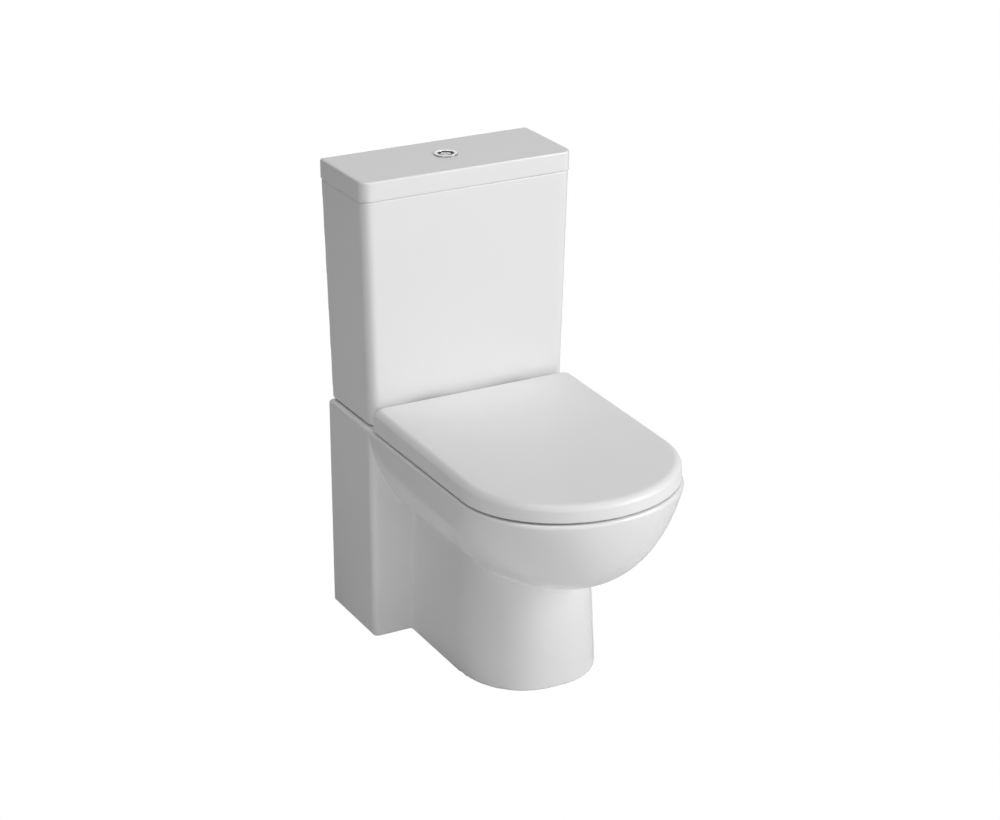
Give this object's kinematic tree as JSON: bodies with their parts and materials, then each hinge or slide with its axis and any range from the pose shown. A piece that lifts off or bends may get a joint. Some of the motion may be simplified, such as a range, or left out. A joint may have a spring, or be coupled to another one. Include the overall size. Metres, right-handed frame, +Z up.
{
  "type": "close_coupled_toilet",
  "caption": "Close coupled toilet in white glazed ceramic with a shrouded pan, slim cistern, flat lid, dual flush button and wrap-over seat and cover that open on rear hinges",
  "frame": {"origin": "on the floor at the centre of the footprint, half way between the wall and the front of the bowl", "axes": "+X to the right of someone facing the cistern, +Y towards the wall behind it, +Z up from the floor"},
  "size_m": [0.3904, 0.6619, 0.817],
  "materials": {
    "glazed_ceramic": "glossy white glaze",
    "seat_plastic": "glossy white moulded urea",
    "white_plastic": "satin white moulding",
    "grey_plastic": "satin grey",
    "rubber": "matt black",
    "brass": "plain turned",
    "steel": "bright drawn",
    "chrome": "polished plate"
  },
  "bodies": {
    "root": {"pan_rim_rear": "glazed_ceramic", "pan_rim_sides": "glazed_ceramic", "pan_rim_front": "glazed_ceramic", "pan_bowl": "glazed_ceramic", "pan_foot": "glazed_ceramic", "pan_trap": "glazed_ceramic", "pan_outlet": "glazed_ceramic", "pan_shroud": "glazed_ceramic", "coupling_seal": "rubber", "cistern": "glazed_ceramic", "coupling_bolts": "brass", "coupling_bolt_seals": "rubber", "shelf_washers": "steel", "wing_nuts": "brass", "flush_valve_body": "white_plastic", "flush_valve_washer": "rubber", "flush_valve_back_nut": "white_plastic", "rocker_pins": "brass", "fill_valve_body": "white_plastic", "fill_valve_head": "white_plastic", "fill_valve_washer": "rubber", "fill_valve_back_nut": "white_plastic", "lever_pin": "brass", "silencer_tube": "white_plastic", "hinge_posts": "chrome", "seat_bolts": "steel", "seat_bushes": "rubber", "seat_nuts": "white_plastic"},
    "lid": {"cistern_lid": "glazed_ceramic", "button_housing": "chrome", "button_clamp_nut": "white_plastic", "full_flush_spring": "steel", "half_flush_spring": "steel"},
    "full_flush": {"full_flush_button": "chrome", "full_push_rod": "white_plastic"},
    "half_flush": {"half_flush_button": "chrome", "half_push_rod": "white_plastic"},
    "flush_stem": {"overflow_tube": "white_plastic", "flush_seal": "rubber", "stem_float": "white_plastic"},
    "full_rocker": {"full_flush_rocker": "white_plastic"},
    "half_rocker": {"half_flush_rocker": "white_plastic"},
    "float": {"float_cup": "white_plastic", "link_rod": "white_plastic"},
    "lever": {"lever_arm": "white_plastic"},
    "ring": {"seat_ring_rear": "seat_plastic", "seat_ring_sides": "seat_plastic", "seat_ring_front": "seat_plastic", "ring_buffers": "rubber", "hinge_pins": "steel"},
    "cover": {"seat_cover": "seat_plastic", "cover_rear_middle": "seat_plastic", "cover_rear_hinges": "seat_plastic", "cover_rear_corners": "seat_plastic", "cover_buffers": "rubber", "soft_close_dampers": "grey_plastic"}
  },
  "joints": [
    {"name": "cistern_lid_lift", "type": "slide", "parent": "root", "child": "lid", "axis": [0, 0, 1], "range_m": [0, 0.12]},
    {"name": "full_flush_press", "type": "slide", "parent": "lid", "child": "full_flush", "axis": [0, 0, -1], "range_m": [0, 0.009], "stiffness_N_per_m": 400, "deforming": ["full_flush_spring"]},
    {"name": "half_flush_press", "type": "slide", "parent": "lid", "child": "half_flush", "axis": [0, 0, -1], "range_m": [0, 0.009], "stiffness_N_per_m": 400, "deforming": ["half_flush_spring"]},
    {"name": "flush_stem_lift", "type": "slide", "parent": "root", "child": "flush_stem", "axis": [0, 0, 1], "range_m": [0, 0.0104]},
    {"name": "full_rocker_tilt", "type": "hinge", "parent": "root", "child": "full_rocker", "pos_m": [-0.026, 0.253, 0.636], "axis": [0, -1, 0], "range_deg": [0, 23.5]},
    {"name": "half_rocker_tilt", "type": "hinge", "parent": "root", "child": "half_rocker", "pos_m": [0.026, 0.253, 0.636], "axis": [0, 1, 0], "range_deg": [0, 23.5]},
    {"name": "float_rise", "type": "slide", "parent": "root", "child": "float", "axis": [0, 0, 1], "range_m": [0, 0.024]},
    {"name": "lever_tilt", "type": "hinge", "parent": "root", "child": "lever", "pos_m": [-0.15, 0.255, 0.66], "axis": [0, -1, 0], "range_deg": [0, 30]},
    {"name": "seat_hinge", "type": "hinge", "parent": "root", "child": "ring", "pos_m": [0, 0.145, 0.413], "axis": [-1, 0, 0], "range_deg": [0, 92]},
    {"name": "cover_hinge", "type": "hinge", "parent": "ring", "child": "cover", "pos_m": [0, 0.145, 0.413], "axis": [1, 0, 0], "range_deg": [-92.3, 0]}
  ],
  "couplings": [
    {"joint": "flush_stem_lift", "follows": "full_flush_press", "ratio": 1.15},
    {"joint": "full_rocker_tilt", "follows": "full_flush_press", "rad_per_m": 45.455},
    {"joint": "half_rocker_tilt", "follows": "half_flush_press", "rad_per_m": 45.455},
    {"joint": "lever_tilt", "follows": "float_rise", "rad_per_m": 21.739}
  ]
}
